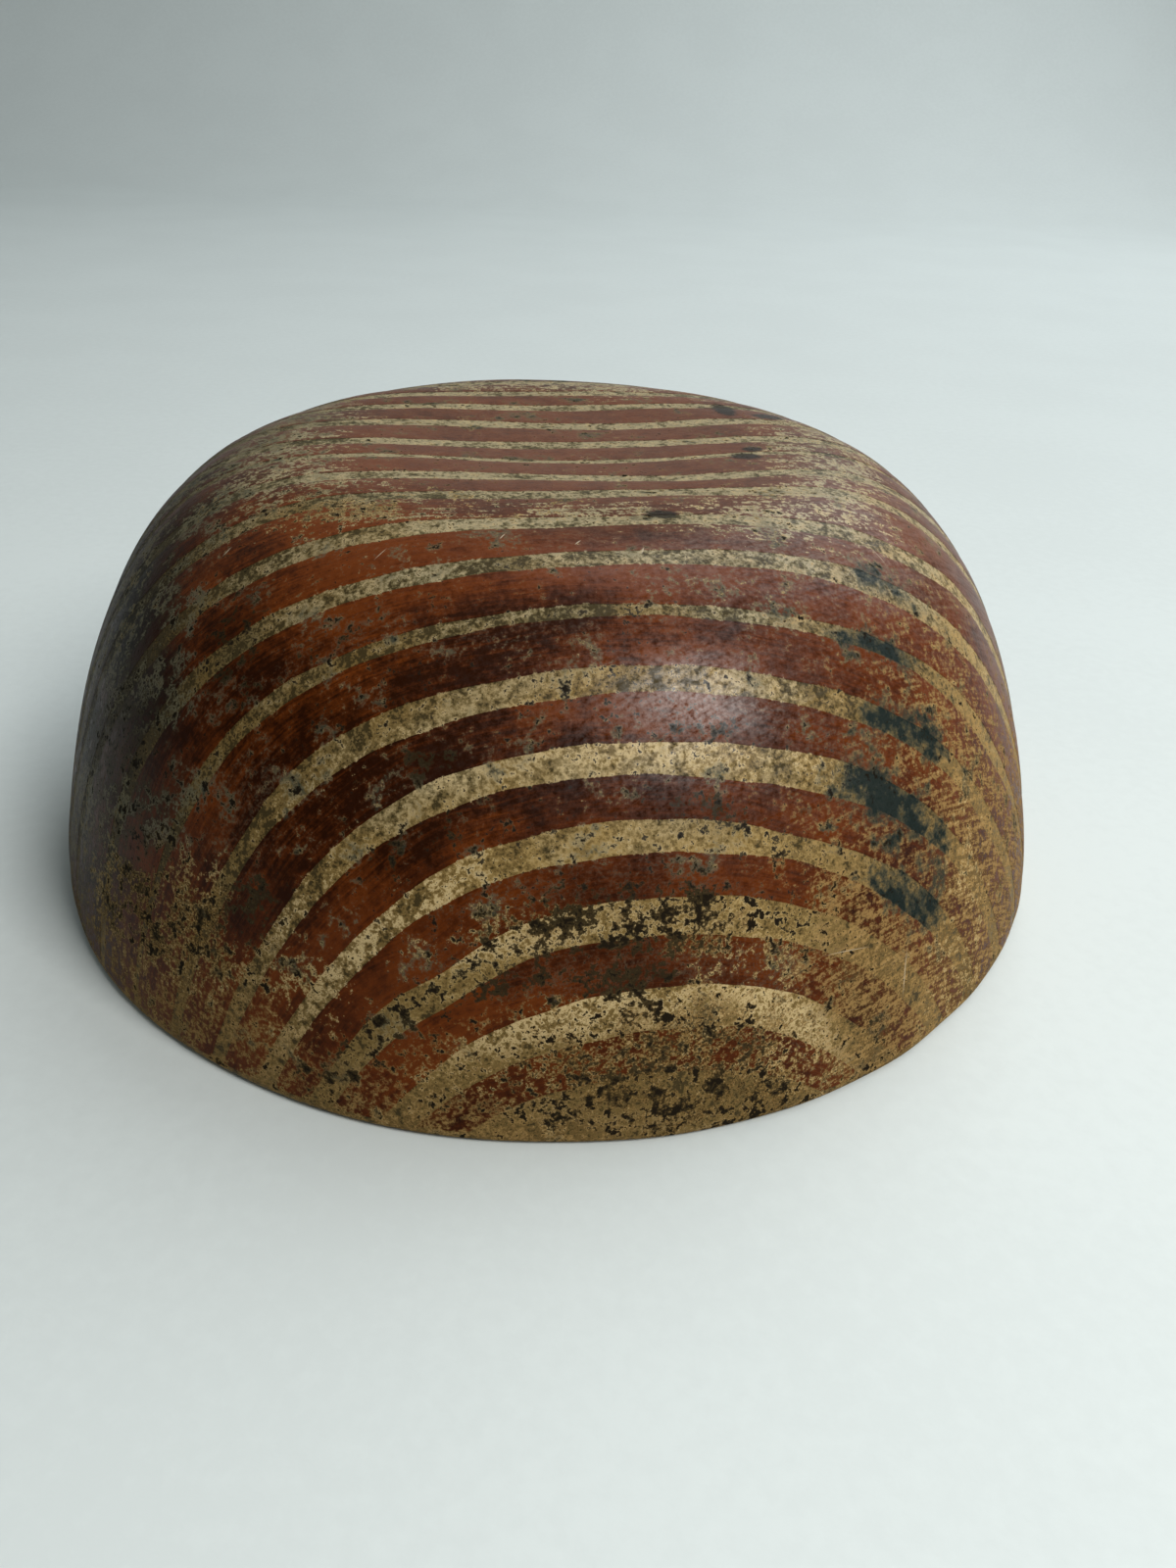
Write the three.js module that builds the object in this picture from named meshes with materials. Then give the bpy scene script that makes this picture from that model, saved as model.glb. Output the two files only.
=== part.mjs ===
// A hand-built pottery bowl, mouth down on its rim, with slanting stripes of red slip.
// Millimetres, +Z up. The origin is the middle of the mouth, on the plane that the rim rests on.

import * as THREE from 'three';

// Driving dimensions of the clay body
const rimRadius = 120;         // outside of the rim
const bowlHeight = 96;         // from the rim to the base ring
const baseRadius = 48;         // where the shoulder runs out into the base
const wallUpright = 2.78;      // the higher, the longer the wall stays upright above the rim
const shoulderSquare = 1.4;    // the higher, the squarer the shoulder
const rimWall = 6;             // wall thickness at the rim
const baseWall = 7.5;          // wall thickness at the base ring
const lipRound = 2;            // rounding of the rim's two edges, which leaves a flat land between them
const dimpleRadius = 45;       // shallow hollow pressed into the base, inside the base ring
const dimpleDepth = 1.5;
const turnSteps = 60;          // facets round the bowl
const outsideSteps = 18;       // facets up the outside, from the lip to the base ring
const insideSteps = 12;

// Driving dimensions of the red slip
const slipGap = 0.35;          // clearance between the clay and a stripe
const slipThickness = 0.4;
const slipStop = 8;            // bare band of clay between the rim and the ends of the stripes
const slipStep = 8.5;          // length of a facet along a stripe
const slipRows = 2;            // facets across a stripe

const leastStripe = 25;        // a stripe shorter than this isn't painted
const leastBand = 3;           // nor one narrower than this
const trimShare = 0.05;        // share of its width that a stripe loses at a time where it is too short

// The painted pattern fills the bowl, so its places and widths are in hundredths of the distance over
// the surface from the middle of the base to the rim. These are the cream lines left between the
// stripes, from the far side to the near side, each with its distance from the middle of the base
// towards the far side and its width.
const creamLines = [
  [97.5, 4.4], [88.7, 4.4], [79.6, 3.9], [71.1, 3.3], [63.1, 3.0], [55.4, 3.0], [47.7, 2.8], [40.0, 2.8],
  [32.2, 2.8], [24.8, 2.5], [17.9, 2.5], [9.9, 2.8], [1.4, 2.8], [-5.2, 1.4], [-12.4, 2.5], [-19.8, 3.0],
  [-29.5, 3.6], [-37.8, 2.8], [-45.2, 2.2], [-52.6, 3.0], [-60.3, 3.0], [-68.3, 3.3], [-76.6, 3.9],
  [-87.1, 4.7], [-96.7, 3.9],
];
const lineRise = 0.176;        // slant of every line: rise over run, up to the right
const rightRise = 0.195;       // the slant's value right of the middle
const bendStart = 38.6;        // lines further out than this also bend like arches
const bendReach = 49.6;        // distance over which that bending grows
const archRise = 0.13;
const archEase = 0.0036;
const elbowTurn = 0.49;        // how much steeper the lines run, left of the elbow
const elbowPlace = 34.2;       // distance of the elbow from the middle, on the line at elbowLine
const elbowLine = 45.2;
const elbowFade = 19.3;        // lines further out have the elbow closer to the middle
const elbowBlend = 5;          // length over which a line turns

const clayColour = 0xb3a27c;
const slipColour = 0x8a4a30;
const clayRoughness = 0.75;
const slipRoughness = 0.45;

// The side of a bowl in section, from the rim (t = 0) to the base (t = 1): a rounded, squarish curve
class Side extends THREE.Curve {
  constructor(radius, foot, height, firstHeight = 0) {
    super();
    this.radius = radius;
    this.foot = foot;
    this.height = height;
    this.first = Math.asin((firstHeight / height) ** (shoulderSquare / 2));
  }

  getPoint(t, target = new THREE.Vector2()) {
    const angle = this.first + (Math.PI / 2 - this.first) * t;
    const out = Math.max(0, Math.cos(angle)) ** (2 / wallUpright);
    const up = Math.sin(angle) ** (2 / shoulderSquare);
    return target.set(this.foot + (this.radius - this.foot) * out, this.height * up);
  }
}

// The hollow in the base, as a depth below the base ring at a distance from the axis
function dimpleAt(radius) {
  const share = Math.min(radius / dimpleRadius, 1);
  return dimpleDepth * (1 - share ** 2) ** 1.5;
}

// A quarter-round edge between two places, bulging away from its centre
function quarterRound(centre, start, end, steps) {
  const points = [];
  for (let i = 0; i <= steps; i++) {
    const angle = i / steps * Math.PI / 2;
    points.push(new THREE.Vector2(
      centre.x + (start.x - centre.x) * Math.cos(angle) + (end.x - centre.x) * Math.sin(angle),
      centre.y + (start.y - centre.y) * Math.cos(angle) + (end.y - centre.y) * Math.sin(angle)));
  }
  return points;
}

// One turned section, gathered from the middle of the base over the outside, the lip and the inside
function clayBody() {
  const outerSide = new Side(rimRadius, baseRadius, bowlHeight, lipRound);
  const innerHeight = bowlHeight - baseWall;
  const innerSide = new Side(rimRadius - rimWall, baseRadius - baseWall, innerHeight, lipRound);
  const outside = outerSide.getSpacedPoints(outsideSteps);
  const inside = innerSide.getSpacedPoints(insideSteps);
  const dimpleSteps = 5;
  const section = [];
  for (let i = 0; i <= dimpleSteps; i++) {
    const radius = dimpleRadius * i / dimpleSteps;
    section.push(new THREE.Vector2(radius, bowlHeight - dimpleAt(radius)));
  }
  section.push(...outside.reverse());
  const outer = outside[outside.length - 1];
  const inner = inside[0];
  const lipSteps = 3;
  const outerCentre = new THREE.Vector2(outer.x - lipRound, outer.y);
  const innerCentre = new THREE.Vector2(inner.x + lipRound, inner.y);
  const down = new THREE.Vector2(0, -inner.y);
  section.push(...quarterRound(outerCentre, outer, outerCentre.clone().add(down), lipSteps).slice(1));
  section.push(...quarterRound(innerCentre, innerCentre.clone().add(down), inner, lipSteps).slice(0, -1));
  section.push(...inside, new THREE.Vector2(0, innerHeight));
  const geometry = new THREE.LatheGeometry(section.reverse(), turnSteps);
  geometry.rotateX(Math.PI / 2);
  return geometry;
}

// The outside as a map: a place is its direction from the axis and its distance over the surface from
// the middle of the base. profile holds that distance, radius and height for the whole outside.
const profile = [];
const profileSteps = 1500;
const outerWall = new Side(rimRadius, baseRadius, bowlHeight);
for (let i = 0; i <= profileSteps; i++) {
  const point = outerWall.getPoint(1 - i / profileSteps);
  profile.push({ radius: point.x, height: point.y, distance: 0 });
}
for (let i = 1; i <= profileSteps; i++) {
  const radius = baseRadius * (1 - i / profileSteps);
  profile.unshift({ radius, height: bowlHeight - dimpleAt(radius), distance: 0 });
}
for (let i = 1; i < profile.length; i++) {
  const last = profile[i - 1];
  const step = Math.hypot(profile[i].radius - last.radius, profile[i].height - last.height);
  profile[i].distance = last.distance + step;
}
const rimDistance = profile[profile.length - 1].distance;
const slipEdge = rimDistance - slipStop;
const patternUnit = rimDistance / 100;

// The place in space of a point of the map, lifted off the clay by a height
function onSurface(x, y, lift) {
  const distance = Math.hypot(x, y);
  let low = 0;
  let high = profile.length - 1;
  while (high - low > 1) {
    const middle = (low + high) >> 1;
    if (profile[middle].distance > distance) high = middle;
    else low = middle;
  }
  const a = profile[low];
  const b = profile[high];
  const span = b.distance - a.distance;
  const share = span > 0 ? (distance - a.distance) / span : 0;
  const outward = (a.height - b.height) / span;
  const upward = (b.radius - a.radius) / span;
  const radius = a.radius + (b.radius - a.radius) * share + outward * lift;
  const height = a.height + (b.height - a.height) * share + upward * lift;
  const turn = Math.atan2(y, x);
  return new THREE.Vector3(radius * Math.cos(turn), radius * Math.sin(turn), height);
}

// A ramp that is 0 well below 0 and rises one for one above it, rounded over elbowBlend
function ramp(t) {
  return Math.max(t, 0) + elbowBlend * Math.log1p(Math.exp(-Math.abs(t) / elbowBlend));
}

// The near half's lines: straight in the middle, arched and with an elbow on the left further out
function nearLine(height, x) {
  const bend = Math.max(0, (-height - bendStart) / bendReach);
  if (x > 0) return height + (rightRise + archRise * bend ** 2) * x - archEase * bend ** 1.2 * x * x;
  const elbow = elbowPlace * Math.exp((height + elbowLine) / elbowFade);
  return height + lineRise * x - elbowTurn * (ramp(-x - elbow) - ramp(-elbow));
}

// The line at a place of the pattern, as a function in millimetres. The far half repeats the near half,
// turned half round.
function lineAt(place, shift) {
  return x => {
    const along = x / patternUnit;
    const drawn = place > 0 ? -nearLine(-place, -along) : nearLine(place, along);
    return patternUnit * (drawn + shift);
  };
}

// Where a line across the map crosses the circle at which the slip stops, left and right
function crossings(line) {
  const inside = x => Math.hypot(x, line(x)) < slipEdge;
  const reach = Math.ceil(rimDistance);
  let start = null;
  for (let x = -reach; x <= reach; x += 1) {
    if (inside(x) && (start === null || Math.hypot(x, line(x)) < Math.hypot(start, line(start)))) start = x;
  }
  if (start === null) return null;
  const halvings = 30;
  return [-1, 1].map(side => {
    let near = start;
    while (inside(near + side)) near += side;
    let far = near + side;
    for (let i = 0; i < halvings; i++) {
      const middle = (near + far) / 2;
      if (inside(middle)) near = middle;
      else far = middle;
    }
    return near;
  });
}

// A stripe between two lines: a thin closed skin over the clay, with its ends along the rim
function stripe(lower, upper) {
  const across = share => x => lower(x) + (upper(x) - lower(x)) * share;
  const usable = share => {
    const ends = crossings(across(share));
    return ends !== null && ends[1] - ends[0] > leastStripe;
  };
  let from = 0;
  let to = 1;
  while (from < to && !usable(from)) from += trimShare;
  while (to > from && !usable(to)) to -= trimShare;
  if ((to - from) * (upper(0) - lower(0)) < leastBand) return null;

  const rows = [];
  for (let row = 0; row <= slipRows; row++) {
    const line = across(from + (to - from) * row / slipRows);
    const [left, right] = crossings(line);
    rows.push({ line, left, right });
  }
  const length = Math.max(...rows.map(row => row.right - row.left));
  const steps = Math.ceil(length / slipStep);
  const positions = [];
  for (const lift of [slipGap, slipGap + slipThickness]) {
    for (const { line, left, right } of rows) {
      for (let i = 0; i <= steps; i++) {
        const x = left + (right - left) * i / steps;
        positions.push(...onSurface(x, line(x), lift).toArray());
      }
    }
  }

  const columns = steps + 1;
  const layer = columns * (slipRows + 1);
  const at = (side, row, i) => side * layer + row * columns + i;
  const indices = [];
  const quad = (a, b, c, d) => indices.push(a, b, c, a, c, d);
  for (let row = 0; row < slipRows; row++) {
    for (let i = 0; i < steps; i++) {
      quad(at(1, row, i), at(1, row, i + 1), at(1, row + 1, i + 1), at(1, row + 1, i));
      quad(at(0, row, i), at(0, row + 1, i), at(0, row + 1, i + 1), at(0, row, i + 1));
    }
    quad(at(0, row, 0), at(1, row, 0), at(1, row + 1, 0), at(0, row + 1, 0));
    quad(at(0, row, steps), at(0, row + 1, steps), at(1, row + 1, steps), at(1, row, steps));
  }
  for (let i = 0; i < steps; i++) {
    quad(at(0, 0, i), at(0, 0, i + 1), at(1, 0, i + 1), at(1, 0, i));
    quad(at(0, slipRows, i), at(1, slipRows, i), at(1, slipRows, i + 1), at(0, slipRows, i + 1));
  }
  const geometry = new THREE.BufferGeometry();
  geometry.setAttribute('position', new THREE.Float32BufferAttribute(positions, 3));
  geometry.setIndex(indices);
  geometry.computeVertexNormals();
  return geometry;
}

function named(name, geometry, color, roughness) {
  const mesh = new THREE.Mesh(geometry, new THREE.MeshStandardMaterial({ color, roughness, metalness: 0 }));
  mesh.name = name;
  return mesh;
}

const bowl = new THREE.Group();
bowl.name = 'pottery_bowl';
bowl.add(named('clay_body', clayBody(), clayColour, clayRoughness));

let count = 0;
for (let i = 0; i + 1 < creamLines.length; i++) {
  const [farPlace, farWidth] = creamLines[i];
  const [nearPlace, nearWidth] = creamLines[i + 1];
  const geometry = stripe(lineAt(nearPlace, nearWidth / 2), lineAt(farPlace, -farWidth / 2));
  if (geometry === null) continue;
  count += 1;
  const name = 'red_slip_stripe_' + String(count).padStart(2, '0');
  bowl.add(named(name, geometry, slipColour, slipRoughness));
}

export default bowl;
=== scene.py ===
# %% [markdown]
# # A striped pottery bowl, resting mouth down
#
# The bowl is hand-built earthenware. The potter wiped the leather-hard clay with a thin cream slip, painted
# broad stripes of red slip over the cream, and rubbed the paint with a smooth stone until it shone. Age did
# the rest: the base is worn, the lower wall has a crust of earth, and black specks and blue-green stains sit
# on the cream lines.
#
# The plan follows the potter: a cream coat with the clay under it, then each red stripe as its own thin skin
# of paint. Their finishes are recipes of noise and masks, so nothing here reads a picture.

import math

import bmesh
import bpy
import numpy as np
from mathutils import Matrix, Vector


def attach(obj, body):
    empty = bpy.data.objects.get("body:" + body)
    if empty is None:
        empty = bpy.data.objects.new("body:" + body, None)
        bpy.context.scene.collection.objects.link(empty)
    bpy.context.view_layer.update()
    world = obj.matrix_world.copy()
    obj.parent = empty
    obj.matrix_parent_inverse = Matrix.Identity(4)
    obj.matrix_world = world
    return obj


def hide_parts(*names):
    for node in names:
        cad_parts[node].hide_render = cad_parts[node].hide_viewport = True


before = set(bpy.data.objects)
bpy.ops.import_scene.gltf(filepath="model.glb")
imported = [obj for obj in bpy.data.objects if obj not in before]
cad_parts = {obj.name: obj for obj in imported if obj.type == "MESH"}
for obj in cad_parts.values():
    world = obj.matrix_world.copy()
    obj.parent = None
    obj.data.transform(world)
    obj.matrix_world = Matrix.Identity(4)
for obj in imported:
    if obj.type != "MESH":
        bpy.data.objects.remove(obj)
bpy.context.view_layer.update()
MM = 0.001

# %% [markdown]
# ## The camera
#
# The picture was taken from close by, a little above the bowl, with a phone's wide lens. A close camera makes
# the near wall large and the base small, and no zooming from further away can give that shape. So the
# distance matters as much as the direction. All lengths in this file are in millimetres until they are
# multiplied by MM.

# %% Camera
CAMERA_AIM = Vector((9.7, 0.0, 5.8))
CAMERA_DISTANCE = 324.9
CAMERA_RISE = math.radians(31.23)
CAMERA_ROLL = math.radians(2.37)
LENS = 28.125
LONG_SIDE = 36.0

back = Vector((0, -math.cos(CAMERA_RISE), math.sin(CAMERA_RISE)))
level_right = Vector((1, 0, 0))
level_up = back.cross(level_right)
right = level_right * math.cos(CAMERA_ROLL) + level_up * math.sin(CAMERA_ROLL)
up = level_up * math.cos(CAMERA_ROLL) - level_right * math.sin(CAMERA_ROLL)
place = (CAMERA_AIM + back * CAMERA_DISTANCE) * MM

camera = bpy.data.objects.new("camera", bpy.data.cameras.new("camera"))
camera.data.lens = LENS
camera.data.sensor_width = LONG_SIDE
camera.data.clip_start = 0.01
camera.matrix_world = Matrix((
    (right.x, up.x, back.x, place.x),
    (right.y, up.y, back.y, place.y),
    (right.z, up.z, back.z, place.z),
    (0, 0, 0, 1),
))
bpy.context.scene.collection.objects.link(camera)
bpy.context.scene.camera = camera
print("camera at, mm:", [round(v / MM, 1) for v in place])

# %% [markdown]
# ## Shader arithmetic
#
# A finish is a sum of masks: where the paint is worn, where earth has stuck, where a stain has spread. Written
# as nodes by hand that is hundreds of lines. The Wire class wraps one output socket, so that 1 - mask or
# mask * 0.5 adds the Math node by itself. The Shader class adds every other node to a tree through one method,
# and a Finish is a Shader with a material of its own. Blender's noise keeps close to its middle value, and the
# more layers it has the closer, so noise() stretches it to a spread of 1. Then a threshold means the same for
# every noise: about a sixth of the surface lies above 1.

# %% Wires and finishes
# How far one layer of Blender's noise spreads from its middle value
NOISE_SPREAD = 0.135


def join(tree, value, socket):
    """Gives a socket its value: a link from a Wire, or a plain number, vector or colour."""
    if isinstance(value, Wire):
        tree.links.new(value.socket, socket)
    elif socket.type == "RGBA" and len(value) == 3:
        socket.default_value = (*value, 1)
    else:
        socket.default_value = value


class Wire:
    """One output socket of a shader node. Arithmetic on it adds Math nodes."""

    def __init__(self, tree, socket):
        self.tree = tree
        self.socket = socket

    def math(self, operation, *values, clamp=False):
        node = self.tree.nodes.new("ShaderNodeMath")
        node.operation = operation
        node.use_clamp = clamp
        for value, socket in zip(values, node.inputs):
            join(self.tree, value, socket)
        return Wire(self.tree, node.outputs[0])

    def __add__(self, other):
        return self.math("ADD", self, other)

    def __radd__(self, other):
        return self.math("ADD", other, self)

    def __sub__(self, other):
        return self.math("SUBTRACT", self, other)

    def __rsub__(self, other):
        return self.math("SUBTRACT", other, self)

    def __mul__(self, other):
        return self.math("MULTIPLY", self, other)

    def __rmul__(self, other):
        return self.math("MULTIPLY", other, self)

    def __or__(self, other):
        """Two masks laid over each other: the stronger one counts."""
        return self.math("MAXIMUM", self, other)

    def above(self, level, softness):
        """A mask that is 0 below the level and 1 above it, with an edge of the given width."""
        return self.math("MULTIPLY_ADD", self - level, 1 / softness, 0.5, clamp=True)

    def capped(self):
        return self.math("ADD", self, 0.0, clamp=True)


class Shader:
    """A node tree that grows as its nodes are named: the settings first, then the inputs."""

    def __init__(self, tree):
        self.tree = tree

    def node(self, kind, settings, sockets, output=0):
        made = self.tree.nodes.new("ShaderNode" + kind)
        for key, value in settings.items():
            setattr(made, key, value)
        for key, value in sockets.items():
            join(self.tree, value, made.inputs[key])
        return Wire(self.tree, made.outputs[output])

    def mix(self, mask, first, second):
        """The first colour where the mask is 0 and the second where it is 1."""
        return self.node("Mix", {"data_type": "RGBA"}, {0: mask, 6: first, 7: second}, 2)

    def noise(self, place, size, detail=2, roughness=0.5, shift=0.0):
        """Noise around 0 with a spread of 1. Its lumps are about size across, in the units of place."""
        moved = self.node("Mapping", {}, {"Vector": place, "Location": (shift, shift, shift)})
        sockets = {"Vector": moved, "Scale": 1 / size, "Detail": detail, "Roughness": roughness}
        layers = [roughness**i for i in range(detail + 1)]
        spread = NOISE_SPREAD * math.hypot(*layers) / sum(layers)
        return (self.node("TexNoise", {}, sockets, "Fac") - 0.5) * (1 / spread)


class Finish(Shader):
    """A material and its node tree."""

    def __init__(self, name):
        self.material = bpy.data.materials.new(name)
        self.material.use_nodes = True
        super().__init__(self.material.node_tree)
        self.surface = self.tree.nodes["Principled BSDF"]

    def set(self, **values):
        for key, value in values.items():
            join(self.tree, value, self.surface.inputs[key.replace("_", " ")])


print("shader helpers ready")

# %% [markdown]
# ## The bowl's section
#
# Seen from the side the wall stands nearly upright on the rim, turns over a rounded shoulder and runs into a
# flat base with a shallow hollow. A superellipse draws that in one formula: one power sets how long the wall
# stays upright, the other how square the shoulder is. The table made here holds radius, height and the
# distance over the surface from the middle of the base, so that work drawn flat can be laid over the bowl.

# %% Section of the outside
RIM_RADIUS = 120.0
BOWL_HEIGHT = 96.0
BASE_RADIUS = 48.0
WALL_UPRIGHT = 2.78
SHOULDER_SQUARE = 1.4
HOLLOW_RADIUS = 45.0
HOLLOW_DEPTH = 1.5

base_steps = np.linspace(0, 1, 200, endpoint=False)
turn_steps = np.linspace(math.pi / 2, 0, 900)
base_radii = BASE_RADIUS * base_steps
hollow = HOLLOW_DEPTH * (1 - np.minimum(base_radii / HOLLOW_RADIUS, 1) ** 2) ** 1.5
wall_radii = BASE_RADIUS + (RIM_RADIUS - BASE_RADIUS) * np.abs(np.cos(turn_steps)) ** (2 / WALL_UPRIGHT)
radii = np.concatenate([base_radii, wall_radii])
heights = np.concatenate([BOWL_HEIGHT - hollow, BOWL_HEIGHT * np.sin(turn_steps) ** (2 / SHOULDER_SQUARE)])
distances = np.concatenate([[0], np.cumsum(np.hypot(np.diff(radii), np.diff(heights)))])
outward = -np.gradient(heights, distances)
upward = np.gradient(radii, distances)
REACH = distances[-1]
print("from the middle of the base to the rim over the surface, mm:", round(REACH, 2))

# %% [markdown]
# ## Work drawn flat, then laid over the bowl
#
# Paint on a bowl is easiest to draw on a flat pattern, as on a paper disc pushed down over the bowl: a point
# of the disc is a direction and a distance from the middle of the base. The pieces below are modelled on that
# disc, with z as the height above the clay, and lay_over bends them onto the section. A hand-built wall isn't
# true, so it also has a few flat places and swellings, each well under 1 mm.

# %% Laying over
SHARP_ANGLE = math.radians(50)
# Each place on the pattern: across, up, reach and how far the wall stands out there
UNEVEN_PLACES = [
    (84, -6, 20, -1.0), (-134, -60, 26, -0.9), (164, -58, 18, 0.6), (132, -123, 22, -0.6),
    (-40, -110, 34, 0.5), (60, -95, 26, -0.35), (10, 120, 40, -0.5), (-110, 60, 34, 0.5),
]


def unevenness(x, y):
    """How far the hand-built wall stands out from the true section."""
    ripple = 0.16 * np.sin(x / 17 + 1.3) * np.sin(y / 21 + 0.4) + 0.08 * np.sin((x + 1.7 * y) / 11)
    for across, along, reach, height in UNEVEN_PLACES:
        ripple = ripple + height * np.exp(-((x - across) ** 2 + (y - along) ** 2) / reach**2)
    return ripple


def lay_over(bm):
    """Bends a flat bmesh over the bowl and turns it into metres."""
    flat = np.array([vert.co for vert in bm.verts])
    distance = np.hypot(flat[:, 0], flat[:, 1])
    turn = np.arctan2(flat[:, 1], flat[:, 0])
    lift = flat[:, 2] + unevenness(flat[:, 0], flat[:, 1])
    radius = np.interp(distance, distances, radii) + lift * np.interp(distance, distances, outward)
    height = np.interp(distance, distances, heights) + lift * np.interp(distance, distances, upward)
    bent = np.stack([radius * np.cos(turn), radius * np.sin(turn), height], axis=1) * MM
    for vert, co in zip(bm.verts, bent):
        vert.co = co
    return flat[:, 0], flat[:, 1]


def finish_piece(name, bm, material, nodes):
    """Turns a bmesh into a smooth piece that stands for CAD nodes and rides with them."""
    bmesh.ops.recalc_face_normals(bm, faces=bm.faces[:])
    for face in bm.faces:
        face.smooth = True
    for edge in bm.edges:
        edge.smooth = edge.calc_face_angle(0) < SHARP_ANGLE
    mesh = bpy.data.meshes.new(name)
    bm.to_mesh(mesh)
    bm.free()
    piece = bpy.data.objects.new(name, mesh)
    bpy.context.scene.collection.objects.link(piece)
    mesh.materials.append(material)
    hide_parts(*nodes)
    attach(piece, "root")
    return piece


print("the wall is out of true by up to, mm:", max(abs(place[3]) for place in UNEVEN_PLACES))

# %% [markdown]
# ## Where the weather went
#
# Age didn't spread evenly over the bowl: earth stuck to the lower wall, smoke darkened the left, damp stained
# the right. Each of these is a soft mask, made of ovals on the flat pattern and stored on the points of every
# painted piece. Ovals could be shader nodes too, but a shader with a hundred of them won't render, and a mask
# on the points costs it one node. The shaders below break the soft edges up with noise, and because they all
# read the same masks, a stain passes from the cream to the red without a seam.

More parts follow.
